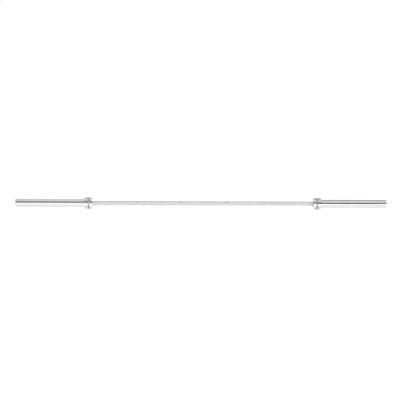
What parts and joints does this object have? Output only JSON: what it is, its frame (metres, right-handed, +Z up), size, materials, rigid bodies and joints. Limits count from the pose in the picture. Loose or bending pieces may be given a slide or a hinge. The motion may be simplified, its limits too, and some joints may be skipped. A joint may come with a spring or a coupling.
{
  "type": "squat bar",
  "caption": "Knurled steel squat bar: a straight round shaft with plain ring marks, and at each end a grooved collar and a smooth plate-loading sleeve that spins on the shaft.",
  "frame": {"origin": "middle of the shaft, on its axis", "axes": "+X along the shaft to the right-hand sleeve, +Z up, -Y towards the lifter's front of the bar, where the collar pins show"},
  "size_m": [2.25, 0.0718, 0.0718],
  "materials": {
    "shaft_steel": "satin chromed steel, knurled, with polished ring marks",
    "hard_chrome": "bright hard chrome, fine turned",
    "bushing_bronze": "machined sintered bronze, oiled",
    "washer_steel": "plain ground steel",
    "spring_steel": "phosphated spring steel, oiled",
    "cap_steel": "faced and lightly brushed steel"
  },
  "bodies": {
    "bar_shaft": {"shaft": "shaft_steel", "left_shaft_snap_ring": "spring_steel", "right_shaft_snap_ring": "spring_steel"},
    "left_sleeve_unit": {"left_sleeve_tube": "hard_chrome", "left_collar": "hard_chrome", "left_collar_pin": "washer_steel", "left_inner_bushing": "bushing_bronze", "left_outer_bushing": "bushing_bronze", "left_inner_washer": "washer_steel", "left_outer_washer": "washer_steel", "left_end_cap": "cap_steel", "left_end_snap_ring": "spring_steel"},
    "right_sleeve_unit": {"right_sleeve_tube": "hard_chrome", "right_collar": "hard_chrome", "right_collar_pin": "washer_steel", "right_inner_bushing": "bushing_bronze", "right_outer_bushing": "bushing_bronze", "right_inner_washer": "washer_steel", "right_outer_washer": "washer_steel", "right_end_cap": "cap_steel", "right_end_snap_ring": "spring_steel"}
  },
  "joints": [
    {"name": "left_sleeve_spin", "type": "hinge", "parent": "bar_shaft", "child": "left_sleeve_unit", "pos_m": [-0.8985, 0, 0], "axis": [1, 0, 0], "continuous": true},
    {"name": "right_sleeve_spin", "type": "hinge", "parent": "bar_shaft", "child": "right_sleeve_unit", "pos_m": [0.8985, 0, 0], "axis": [1, 0, 0], "continuous": true}
  ]
}
